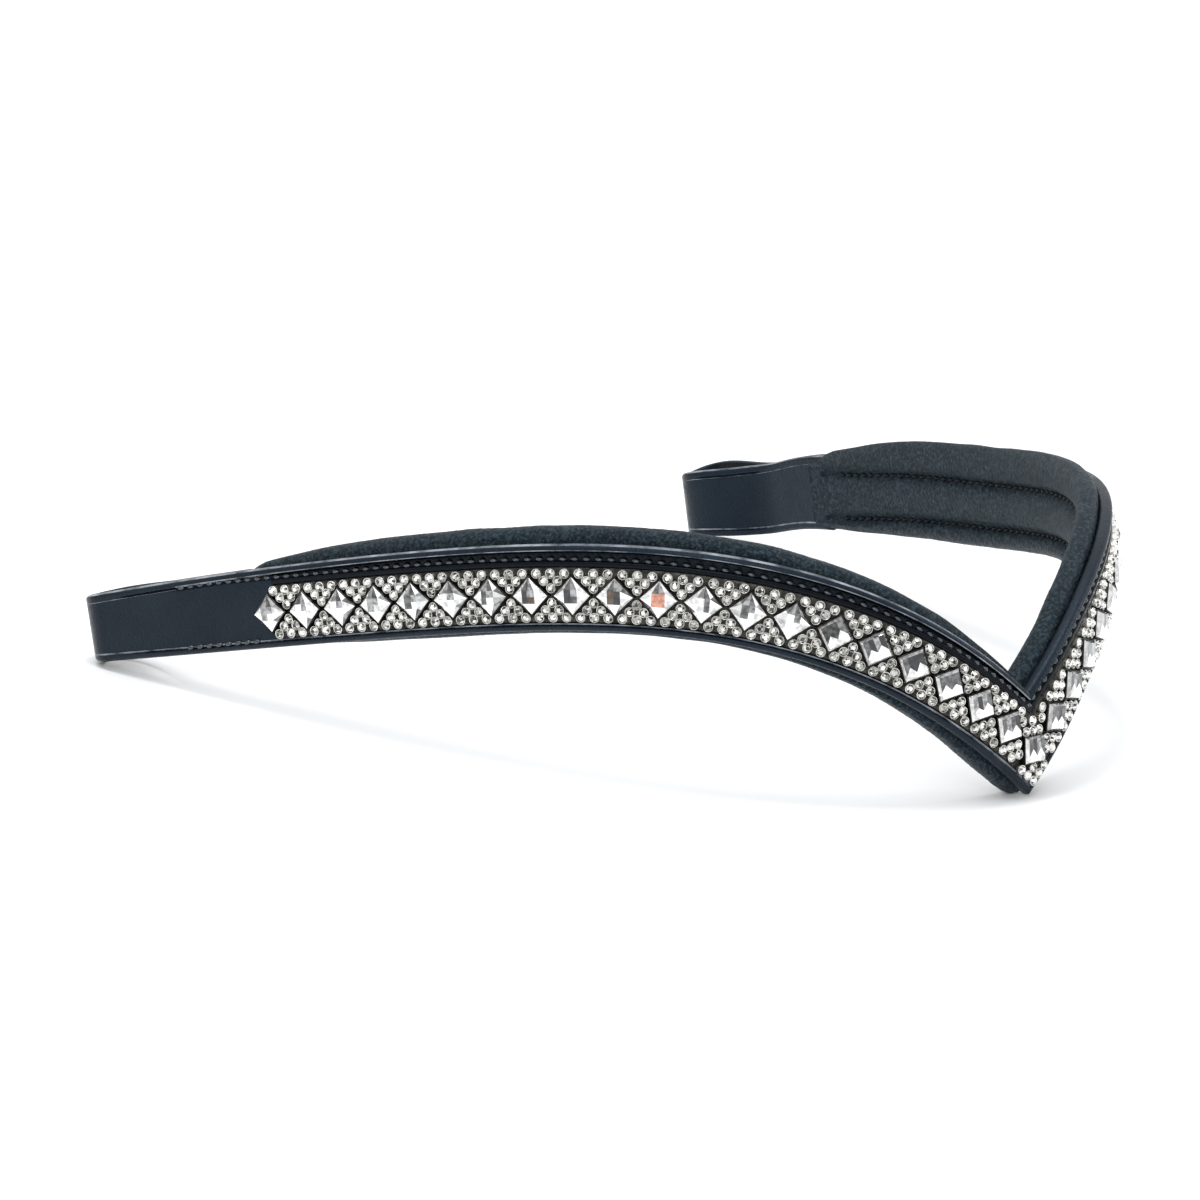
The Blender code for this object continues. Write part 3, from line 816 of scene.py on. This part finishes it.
def build_stitching(waxed_thread, matt_thread):
    def quilt_out(length):
        return PAD_FRONT - PAD_DEPTH * SEAM_SINK * pad_fullness(length) - 0.1 * MM

    strap_rows = [
        (STITCH_PITCH * 2.0, STITCH_END, STITCH_PITCH, stitch_across, groove_level, 1, 0.08 * MM, place),
        (CHANNEL_TIP + 0.5 * MM, STITCH_END, STITCH_PITCH, lambda _: LOOP_STITCH, lambda _: FACE, 1,
         -0.08 * MM, place),
    ]
    add_stitches("channel_stitches", "black_thread", waxed_thread, strap_rows,
                 ["channel_thread", "left_loop_thread", "right_loop_thread"])
    first, last = QUILT_PITCH * 2, PAD_LENGTH - 2 * MM
    quilt_rows = [
        (first, last, QUILT_PITCH, lambda length: quilt_lines(length)[0], quilt_out, -1, 0.05 * MM,
         place_padding),
        (first, last, QUILT_PITCH, lambda length: quilt_lines(length)[1], quilt_out, -1, -0.05 * MM,
         place_padding),
    ]
    add_stitches("quilting_stitches", "black_thread", matt_thread, quilt_rows,
                 ["upper_quilting_thread", "lower_quilting_thread"])


# The stones and the metal that holds them.


def frame_at(run, rise, out, climb):
    """The matrix of a stone at this spot of the flat outline: x climbs along the strap and z faces out."""
    if run < 0:
        return mirror_matrix(frame_at(-run, rise, out, -climb))
    turn = float(heading(run))
    along = Vector((math.cos(turn), math.sin(turn), 0.0))
    facing = Vector((math.sin(turn), -math.cos(turn), 0.0))
    x_axis = along * math.cos(climb) + Vector((0, 0, 1)) * math.sin(climb)
    turned = STANCE.to_3x3() @ Matrix((x_axis, facing.cross(x_axis), facing)).transposed()
    return Matrix.Translation(Vector(bend(run, rise, out))) @ turned.to_4x4()


def mirror_matrix(matrix):
    flip = Matrix.Scale(-1, 4, (1, 0, 0))
    return flip @ matrix @ flip


def square_places():
    """(number, matrix) of the square stones, from the left arm's end to the right arm's."""
    found = []
    for index in range(-STONES_PER_ARM, STONES_PER_ARM + 1):
        length = abs(index) * PITCH
        run, rise = flat(length, 0.0)
        climb = float(slope(length)) if index else math.radians(45)
        matrix = frame_at(float(run), float(rise), 0.0, climb)
        found.append((index, mirror_matrix(matrix) if index < 0 else matrix))
    return found


def clear_of_squares(run, rise, margin):
    """True if a round stone here stays clear of the square stones next to the V on both arms."""
    for index in (-2, -1, 0, 1, 2):
        centre_run, centre_rise = flat(abs(index) * PITCH, 0.0)
        side = -1 if index < 0 else 1
        tilt = (float(slope(abs(index) * PITCH)) if index else math.radians(45)) * side
        dx, dz = run - centre_run * side, rise - centre_rise
        u = dx * math.cos(tilt) + dz * math.sin(tilt)
        v = -dx * math.sin(tilt) + dz * math.cos(tilt)
        if (abs(u) + abs(v) - STONE_HALF_DIAGONAL) / math.sqrt(2) < margin:
            return False
    return True


def across_of(run, rise):
    """How far across the right arm a spot near the V lies."""
    return rise * math.cos(V_SLOPE) - abs(run) * math.sin(V_SLOPE)


# Where round stones sit between two square ones, as shares of the pitch along the strap and across it.
ROUND_SPOTS = ((1 / 6, 0.5), (1 / 2, 0.5), (5 / 6, 0.5), (1 / 3, 0.333), (2 / 3, 0.333), (1 / 2, 0.166))


def round_places():
    """(run, rise, climb) of the right arm's round stones, of those about the V and of their mirror images."""
    radius = ROUND_STONE_RADIUS
    spots = []
    for index in range(STONES_PER_ARM):
        for part, level in ROUND_SPOTS:
            for side in (1, -1):
                length = (index + part) * PITCH
                run, rise = (float(value) for value in flat(length, side * level * PITCH * 0.985))
                clear = index > 1 or clear_of_squares(run, rise, radius * 0.94)
                if clear and run > radius * 1.05:
                    spots.append((run, rise, float(slope(length))))
    middle = []
    step = 0.3 * MM
    for level in range(-36, 40):
        for column in range(0, 12):
            run, rise = column * step, level * step
            if 0 < run < radius * 0.9 or not clear_of_squares(run, rise, radius * 0.74):
                continue
            if abs(across_of(run, rise)) > CHANNEL_HALF - radius * 0.85 + (0.6 * MM if rise < 0 else 0.0):
                continue
            others = spots + middle
            if all(math.hypot(run - other[0], rise - other[1]) > radius * 1.8 for other in others):
                middle.append((run, rise, 0.0))
    mirrored = [(-run, rise, -climb) for run, rise, climb in spots + middle if run > 0]
    return spots + middle + mirrored


# Tones of the crystals' facets, all painted reflections: bright, grey and dark, and brown and salmon glints.
TONES = ["white", "pale", "grey", "slate", "black", "umber", "tint"]

# The painted reflections on the left and on the right of a stone's table, by stone.
PANES = {
    -17: ("grey", "pale"), -16: ("slate", "white"), -15: ("pale", "white"), -14: ("slate", "white"),
    -13: ("black", "umber"), -12: ("black", "slate"), -11: ("umber", "black"), -10: ("tint", "tint"),
    -9: ("pale", "slate"), -8: ("slate", "white"), -7: ("white", "pale"),
}


def square_faces(rng, index):
    """(corners, tone) of one square stone's facets, toned with painted reflections: a pyramid with a small
    table or a chevron table.
    """
    tip = STONE_HALF_DIAGONAL * 0.93
    girdle, crown = 0.2 * MM, 1.05 * MM
    facets = []
    tips = [(tip, 0), (0, tip), (-tip, 0), (0, -tip)]
    for corner in range(4):
        ahead = (corner + 1) % 4
        low = [(x * 0.9, y * 0.9, -0.5 * MM) for x, y in (tips[corner], tips[ahead])]
        high = [(*tips[ahead], girdle), (*tips[corner], girdle)]
        facets.append((low + high, "slate"))
    if abs(index) <= 6:
        facets += chevron_table(rng, index, tip, girdle, crown)
    else:
        facets += pyramid_table(rng, index, tips, girdle, crown)
    return facets


def pyramid_table(rng, index, tips, girdle, crown):
    """Crown facets round a square table, in painted reflections: two or three panes of different tones on the
    table, the upper facets darker and the lower ones brighter.
    """
    table = tips[0][0] * 0.36
    panes = [(table, table), (-table, table), (-table, -table), (table, -table)]
    facets = []
    tip_tones = [("white", "pale"), ("grey", "slate"), ("pale", "white"), ("white", "white")]
    for corner in range(4):
        tip = (*tips[corner], girdle)
        first, second = (*panes[corner - 1], crown), (*panes[corner], crown)
        middle = tuple((a + b) / 2 for a, b in zip(first, second))
        pair = list(tip_tones[corner])
        rng.shuffle(pair)
        facets += [([tip, middle, first], pair[0]), ([tip, second, middle], pair[1])]
        ahead = (*tips[(corner + 1) % 4], girdle)
        half = tuple((a + b) / 2 for a, b in zip(tip, ahead))
        raised = (half[0] * 0.97, half[1] * 0.97, girdle + 0.16 * MM)
        tones = ["grey", "pale", "slate"] if corner < 2 else ["white", "white", "pale", "grey", "slate"]
        facets.append(([tip, raised, second], rng.choice(tones)))
        facets.append(([raised, ahead, second], rng.choice(["white", "pale", "white", "grey"])))
        facets.append(([tip, ahead, raised], rng.choice(["slate", "grey", "pale"])))
    split = rng.uniform(-0.25, 0.25) * table
    plain = (rng.choice(["white", "pale", "grey"]), rng.choice(["white", "slate", "pale", "white"]))
    left, right = PANES.get(index, plain)
    top = crown + 0.06 * MM
    left_pane = [(-table, -table, crown), (split, -table, crown), (split, table, crown),
                 (-table, table, crown)]
    right_low = [(split, -table, crown), (table, -table, crown), (table, 0, top), (split, 0, top)]
    right_high = [(split, 0, top), (table, 0, top), (table, table, crown), (split, table, crown)]
    high_tone = right if right in ("tint", "black") else "grey"
    return facets + [(left_pane, left), (right_low, right), (right_high, high_tone)]


def chevron_table(rng, index, tip, girdle, crown):
    """A wide table painted with reflections, dark above and bright below, with a zigzag between the two."""
    side = tip / math.sqrt(2)
    inner = side * 0.84
    turn = math.radians(45 if index < 0 else -45)

    def spot(a, b, height):
        return (a * math.cos(turn) - b * math.sin(turn), a * math.sin(turn) + b * math.cos(turn), height)

    table = crown * 0.8
    outer = [(side, side), (-side, side), (-side, -side), (side, -side)]
    rim = [(inner, inner), (-inner, inner), (-inner, -inner), (inner, -inner)]
    facets = []
    for corner, tone in enumerate(("grey", "pale", "white", "slate")):
        ahead = (corner + 1) % 4
        facets.append(([spot(*outer[corner], girdle), spot(*outer[ahead], girdle), spot(*rim[ahead], table),
                        spot(*rim[corner], table)], tone))
    teeth = 4
    edges = np.linspace(-inner, inner, teeth + 1)
    heights = [rng.uniform(0.0, 0.3) if step % 2 else rng.uniform(-0.6, -0.3) for step in range(teeth + 1)]
    for step in range(teeth):
        left, right = edges[step], edges[step + 1]
        low, high = heights[step] * inner, heights[step + 1] * inner
        lift = table + 0.05 * MM
        zigzag = [spot(left, low, lift), spot(right, high, lift)]
        upper = zigzag + [spot(right, inner, table), spot(left, inner, table)]
        lower = [spot(left, -inner, table), spot(right, -inner, table)] + zigzag[::-1]
        facets.append((upper, rng.choice(["grey", "slate", "slate", "black"])))
        facets.append((lower, rng.choice(["white", "white", "white", "pale"])))
    return facets


def build_squares(looks):
    for index, matrix in square_places():
        rng = random.Random(SEED * 1000 + index)
        points, faces, tones = [], [], []
        for corners, tone in square_faces(rng, index):
            faces.append(tuple(range(len(points), len(points) + len(corners))))
            points += corners
            tones.append(TONES.index(tone))
        number = index + STONES_PER_ARM + 1
        stone = make_object(f"square_crystal_{number:02d}", points, faces, looks, tones, smooth=False)
        tilt = Matrix.Rotation(math.radians(rng.uniform(-3, 3)), 4, "X")
        stone.data.transform(matrix @ tilt @ Matrix.Rotation(math.radians(rng.uniform(-3, 3)), 4, "Y"))
        edit(stone, weld_and_face_out)
        keep_on_root(stone, "crystal", f"stone_{number:02d}")


def weld_and_face_out(shape):
    bmesh.ops.remove_doubles(shape, verts=shape.verts, dist=0.01 * MM)
    bmesh.ops.recalc_face_normals(shape, faces=shape.faces)


def round_stone():
    """Points and (face, kind) of one round stone: a table and eight crown facets over a girdle."""
    radius = CUP_RADIUS * 0.76
    points, faces = [], []
    levels = [(radius * 0.96, -0.5 * MM), (radius, 0.0), (radius * 0.5, 0.5 * MM)]
    for ring, (reach, height) in enumerate(levels):
        for corner in range(8):
            angle = (corner + 0.5 * (ring == 2)) * math.pi / 4
            points.append((reach * math.cos(angle), reach * math.sin(angle), height))
    for corner in range(8):
        ahead = (corner + 1) % 8
        faces.append((corner, ahead, 8 + ahead, 8 + corner))
        faces.append((8 + corner, 8 + ahead, 16 + corner))
        faces.append((8 + ahead, 16 + ahead, 16 + corner))
    faces.append(tuple(range(16, 24)))
    return points, faces


def build_rounds(looks, places):
    rng = random.Random(SEED)
    base_points, base_faces = round_stone()
    points, faces, tones = [], [], []
    for run, rise, climb in places:
        matrix = frame_at(run, rise, -0.15 * MM, climb) @ Matrix.Rotation(rng.uniform(0, math.pi), 4, "Z")
        matrix = matrix @ Matrix.Rotation(math.radians(rng.uniform(-8, 8)), 4, "X")
        start = len(points)
        points += [matrix @ Vector(point) for point in base_points]
        for face in base_faces:
            faces.append(tuple(start + i for i in face))
            # Each facet takes a painted reflection tone at random.
            tones.append(rng.choices(range(4), (5, 4, 2.5, 2) if len(face) < 8 else (4, 3, 1.5, 1.5))[0])
    stones = make_object("round_stones", points, faces, looks, tones, smooth=False)
    edit(stones, face_out)
    keep_on_root(stones, "rhinestone")


def revolve_ring(matrix, profile, corners, radius):
    """Points and faces of a closed ring whose section is profile, (share of radius, height) pairs."""
    points = []
    for corner in range(corners):
        angle = corner * 2 * math.pi / corners
        for share, height in profile:
            reach = radius * share
            points.append(matrix @ Vector((reach * math.cos(angle), reach * math.sin(angle), height)))
    return points, grid_faces(corners + 1, len(profile), closed=True) % len(points)


def joined(pieces):
    """One list of points and one of faces, from (points, faces) of several pieces."""
    points, faces = [], []
    for new_points, new_faces in pieces:
        start = len(points)
        points.extend(new_points)
        faces.extend(tuple(start + i for i in face) for face in new_faces)
    return points, faces


def face_out(shape):
    bmesh.ops.recalc_face_normals(shape, faces=shape.faces)


def build_settings(painted_shade_silver, bright_silver, places):
    """The metal bed of the channel with a thin square cup or a round one about each stone."""
    square_profile = [(0.93, -1.2 * MM), (0.985, -1.2 * MM), (1.0, 0.1 * MM), (0.975, 0.2 * MM),
                      (0.945, 0.18 * MM)]
    square_cups = [
        revolve_ring(matrix, square_profile, 4, STONE_HALF_DIAGONAL)
        for _, matrix in square_places()
    ]
    round_profile = [(0.80, -0.7 * MM), (1.0, -0.7 * MM), (1.0, 0.0), (0.93, 0.12 * MM), (0.84, 0.1 * MM),
                     (0.80, 0.0)]
    round_cups = [
        revolve_ring(frame_at(run, rise, -0.15 * MM, climb), round_profile, 12, CUP_RADIUS)
        for run, rise, climb in places
    ]
    # The square cups, like the bed, are near-black: painted shade along the stones' edges and in the gaps
    # between them.
    cup_sets = (("square_cups", square_cups, painted_shade_silver), ("round_cups", round_cups, bright_silver))
    for name, rings, look in cup_sets:
        points, faces = joined(rings)
        cups = make_object(name, points, faces, [look], smooth=False)
        edit(cups, face_out)
        keep_on_root(cups, "stone_setting")

    lengths = np.concatenate([np.arange(V_OVERRUN, CHANNEL_SHOULDER, 1.5 * MM),
                              np.linspace(CHANNEL_SHOULDER, CHANNEL_TIP - 0.1 * MM, 8)])
    bed_points = []
    for length in lengths:
        half = max((CHANNEL_HALF - 0.1 * MM) * channel_openness(length), 0.02 * MM)
        across = np.linspace(-half, half, 21)
        ripple = np.sin(across / (0.35 * MM)) * math.sin(length / (0.4 * MM))
        top = CARRIER_TOP - 0.1 * MM + 0.06 * MM * ripple
        bed_points.append(place(length, np.concatenate([across, across[::-1]]),
                                np.concatenate([top, np.full(21, CHANNEL_FLOOR + 0.05 * MM)])))
    rows = len(bed_points[0])
    bed_faces = [tuple(face) for face in grid_faces(len(lengths), rows, closed=True)]
    bed_faces.append(end_cap(len(lengths), rows))
    bed = make_object("setting_bed", np.concatenate(bed_points), bed_faces, [painted_shade_silver])
    make_both_arms(bed)
    keep_on_root(bed, "stone_setting", "crystal_carrier")


# The studio.


def build_studio():
    floor_look, shader = new_material("pale_floor", (0.90, 0.90, 0.90), 0.9)
    link = floor_look.node_tree.links.new
    stops = [(0.3, (0.89, 0.89, 0.89)), (0.7, (0.91, 0.91, 0.91))]
    link(colours_of(floor_look, noise_of(floor_look, 0.4), stops), shader.inputs["Base Color"])
    reach = 30.0
    corners = [(-reach, -reach, 0), (reach, -reach, 0), (reach, reach, 0), (-reach, reach, 0)]
    floor = make_object("floor", corners, [(0, 1, 2, 3)], [floor_look], smooth=False)

    world = bpy.data.worlds.new("studio")
    world.use_nodes = True
    background = world.node_tree.nodes["Background"]
    background.inputs["Color"].default_value = (0.97, 0.985, 1.0, 1.0)
    link = world.node_tree.links.new
    split = add_node(world, "ShaderNodeSeparateXYZ")
    link(add_node(world, "ShaderNodeTexCoord").outputs["Generated"], split.inputs["Vector"])
    link(spread_of(world, split.outputs["Z"], 0.55, 1.45, 0.0, 1.0), background.inputs["Strength"])
    bpy.context.scene.world = world

    for name, spot, size, energy in (
        ("top_softbox", (-0.25, 0.1, 1.3), 0.35, 5.0),
        ("front_softbox", (-1.3, -1.0, 1.0), 0.45, 6.0),
        ("side_softbox", (1.2, -0.9, 0.7), 0.5, 3.0),
    ):
        lamp = bpy.data.lights.new(name, "AREA")
        lamp.size = size
        lamp.energy = energy
        obj = new_object(name, lamp)
        obj.location = spot
        obj.rotation_euler = (Vector((0.0, -0.02, 0.02)) - Vector(spot)).to_track_quat("-Z", "Y").to_euler()


def build_camera():
    look = Vector((math.sin(CAMERA_AZIMUTH) * math.cos(CAMERA_ELEVATION),
                   math.cos(CAMERA_AZIMUTH) * math.cos(CAMERA_ELEVATION), -math.sin(CAMERA_ELEVATION)))
    level = Vector((math.cos(CAMERA_AZIMUTH), -math.sin(CAMERA_AZIMUTH), 0.0))
    upright = level.cross(look)
    right = level * math.cos(CAMERA_ROLL) + upright * math.sin(CAMERA_ROLL)
    up = -level * math.sin(CAMERA_ROLL) + upright * math.cos(CAMERA_ROLL)
    worn = Matrix.Translation(CAMERA_PLACE) @ Matrix((right, up, -look)).transposed().to_4x4()
    camera = bpy.data.cameras.new("photo_camera")
    camera.sensor_width = 36.0
    camera.lens = CAMERA_LENS
    camera.clip_start = 0.05
    camera.clip_end = 100.0
    obj = new_object("photo_camera", camera)
    obj.matrix_world = STANCE @ worn
    bpy.context.scene.camera = obj


def main():
    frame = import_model()
    bpy.context.scene.view_settings.view_transform = "Standard"
    build_camera()
    build_studio()
    loaded = set(bpy.data.objects)

    smooth_leather = leather("smooth_leather", (0.002, 0.004, 0.008), (0.006, 0.010, 0.017), 0.27, 0.5 * MM,
                             0.08 * MM)
    # Painted highlight: a light leather colour on the crease ridges and edges, for the light they catch.
    painted_highlight_leather = leather("painted_highlight_leather", (0.03, 0.037, 0.046), (0.34, 0.36, 0.39), 0.22, 0.5 * MM,
                           0.05 * MM, fleck=4 * MM)
    # Near-black glossy leather for the channel and the strap's inner faces: partly the channel leather's own
    # black, partly painted shade in the groove and inside the loops.
    glossy_painted_shade_leather = leather("glossy_painted_shade_leather", (0.001, 0.001, 0.0015), (0.002, 0.002, 0.003), 0.16,
                             0.5 * MM, 0.05 * MM, ior=1.27)
    soft_leather = leather("soft_leather", (0.002, 0.006, 0.009), (0.046, 0.070, 0.084), 0.38, 0.45 * MM,
                           0.5 * MM, fleck=0.6 * MM, spread=(0.44, 0.74))
    waxed_thread = thread_look("waxed_thread", (0.001, 0.001, 0.002), (0.020, 0.022, 0.025), 1.85)
    matt_thread = thread_look("matt_thread", (0.001, 0.001, 0.002), (0.006, 0.007, 0.009), 1.3)
    cotton = woven("cotton_cord", (0.40, 0.37, 0.31), (0.62, 0.58, 0.50), 0.3 * MM)
    # Near-black silver for the bed and the square cups: painted shade in the gaps between the stones and
    # along their edges.
    painted_shade_silver = metal("painted_shade_silver", (0.007, 0.007, 0.007), (0.065, 0.062, 0.056), 0.4)
    bright_silver = metal("bright_silver", (0.55, 0.54, 0.50), (0.95, 0.94, 0.90), 0.25)
    # The square crystals' facet tones: painted reflections.
    square_looks = [
        facet("crystal_white", (0.88, 0.88, 0.87), (1.0, 1.0, 0.99)),
        facet("crystal_pale", (0.52, 0.52, 0.51), (0.80, 0.80, 0.79)),
        facet("crystal_grey", (0.17, 0.17, 0.17), (0.40, 0.40, 0.40)),
        facet("crystal_slate", (0.045, 0.045, 0.046), (0.15, 0.15, 0.15)),
        facet("crystal_black", (0.008, 0.008, 0.010), (0.03, 0.03, 0.035)),
        facet("crystal_umber", (0.05, 0.03, 0.018), (0.11, 0.07, 0.04)),
        facet("crystal_tint", (0.42, 0.17, 0.11), (0.62, 0.30, 0.21)),
    ]
    # The rhinestones' facet tones are painted reflections and sparkle; the champagne tone is partly the
    # stones' own tint.
    round_looks = [
        facet("rhinestone_white", (0.88, 0.88, 0.86), (1.0, 1.0, 0.98)),
        facet("rhinestone_champagne", (0.58, 0.57, 0.53), (0.84, 0.83, 0.79)),
        facet("rhinestone_grey", (0.17, 0.17, 0.16), (0.36, 0.35, 0.33)),
        facet("rhinestone_dark", (0.012, 0.012, 0.012), (0.05, 0.05, 0.05)),
    ]

    build_strap(smooth_leather, painted_highlight_leather, glossy_painted_shade_leather)
    build_pad(soft_leather)
    build_stitching(waxed_thread, matt_thread)
    places = round_places()
    build_squares(square_looks)
    build_rounds(round_looks, places)
    build_settings(painted_shade_silver, bright_silver, places)
    build_cords(frame["nodes"], cotton)
    for obj in set(bpy.data.objects) - loaded:
        settle_right_arm(obj)


main()
